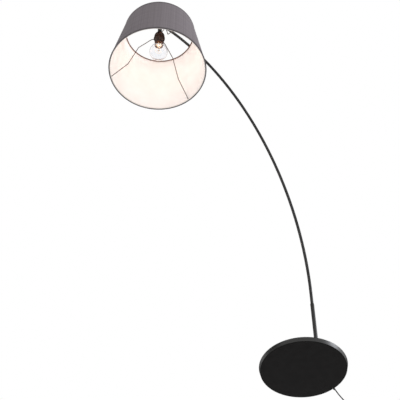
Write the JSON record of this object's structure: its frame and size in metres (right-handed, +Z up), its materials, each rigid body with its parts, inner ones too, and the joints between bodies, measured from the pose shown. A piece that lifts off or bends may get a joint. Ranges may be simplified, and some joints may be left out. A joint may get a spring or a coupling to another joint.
{
  "type": "arc floor lamp",
  "caption": "Floor lamp with a heavy round base, a short offset pole, a thin arc tube and a tapered drum shade hanging on a tilting knuckle over a clear globe bulb",
  "frame": {"origin": "centre of the base's flat underside, on the floor", "axes": "+Z up along the pole; +X from the pole towards the side that the arc leans to; +Y completes the right-handed frame"},
  "size_m": [1.2012, 0.4791, 1.6935],
  "materials": {
    "black_coat": "satin black powder coat with a fine texture",
    "cast_iron": "raw grey casting, hidden in the base",
    "felt": "thin black needle felt under the base",
    "zinc": "bright zinc plating on screws, nuts and the hollow nipple",
    "black_plastic": "fine-grained black moulding",
    "holder_plastic": "dark brown-black moulding with a soft sheen",
    "cord": "smooth matte black PVC sheath",
    "ceramic": "unglazed cream steatite",
    "brass": "plain brass, lightly worn",
    "frame_wire": "warm grey lacquer over steel wire and strip",
    "shade_cloth": "plain-woven warm grey cloth",
    "trim_tape": "folded tape in the shade's cloth",
    "liner": "warm white translucent styrene lining",
    "glass": "clear thin glass",
    "insulator": "black glass insulator of the screw cap",
    "solder": "dull solder bead",
    "tungsten": "dull fine filament"
  },
  "bodies": {
    "stand": {"base_cover": "black_coat", "base_weight": "cast_iron", "base_pad": "felt", "pole_spigot": "zinc", "spigot_washer": "zinc", "spigot_nut": "zinc", "pole_tube": "black_coat", "set_screw": "zinc", "cord_bushing": "black_plastic", "base_lead": "cord", "cord_tail": "cord", "cord_coil_a": "cord", "cord_link_a": "cord", "switch_tray": "black_plastic", "switch_cover": "black_plastic", "switch_contact": "ceramic", "cord_link_b": "cord", "cord_coil_b": "cord", "cord_link_c": "cord", "plug_body": "black_plastic", "plug_pin_left": "brass", "plug_pin_right": "brass"},
    "switch_button": {"switch_button": "black_plastic"},
    "arm": {"arc_tube": "black_coat", "arc_lead": "cord", "knuckle_upper": "black_coat", "knuckle_bolt": "zinc", "knuckle_nut": "zinc", "knuckle_washer": "black_plastic"},
    "head": {"knuckle_lower": "black_coat", "head_sleeve": "black_coat", "head_nipple": "zinc", "nipple_nut": "zinc", "holder_cap": "holder_plastic", "holder_core": "ceramic", "holder_skirt": "holder_plastic", "holder_shell": "brass", "holder_contact": "brass", "head_lead": "cord", "spider_hub": "frame_wire", "spider_arm_1": "frame_wire", "spider_arm_2": "frame_wire", "spider_arm_3": "frame_wire", "shade_ring_bottom": "frame_wire", "shade_ring_top": "frame_wire", "shade_fabric": "shade_cloth", "shade_liner": "liner", "trim_bottom": "trim_tape", "trim_top": "trim_tape"},
    "shade_nut": {"shade_ring_nut": "holder_plastic"},
    "bulb": {"bulb_glass": "glass", "bulb_cap": "brass", "bulb_insulator": "insulator", "bulb_tip": "solder", "bulb_stem": "glass", "bulb_filament": "tungsten"}
  },
  "joints": [
    {"name": "arc_swing", "type": "hinge", "parent": "stand", "child": "arm", "pos_m": [-0.079, 0, 0.36], "axis": [0, 0, 1], "range_deg": [-170, 170]},
    {"name": "head_tilt", "type": "hinge", "parent": "arm", "child": "head", "pos_m": [0.692, 0, 1.6845], "axis": [0, 1, 0], "range_deg": [-50, 10]},
    {"name": "shade_nut_turn", "type": "hinge", "parent": "head", "child": "shade_nut", "pos_m": [0.692, 0, 1.5557], "axis": [0, 0, 1], "range_deg": [-1080, 0]},
    {"name": "bulb_turn", "type": "hinge", "parent": "head", "child": "bulb", "pos_m": [0.692, 0, 1.452], "axis": [0, 0, 1], "range_deg": [-900, 0]},
    {"name": "button_press", "type": "slide", "parent": "stand", "child": "switch_button", "axis": [0, 0, -1], "range_m": [0, 0.003], "stiffness_N_per_m": 800}
  ]
}
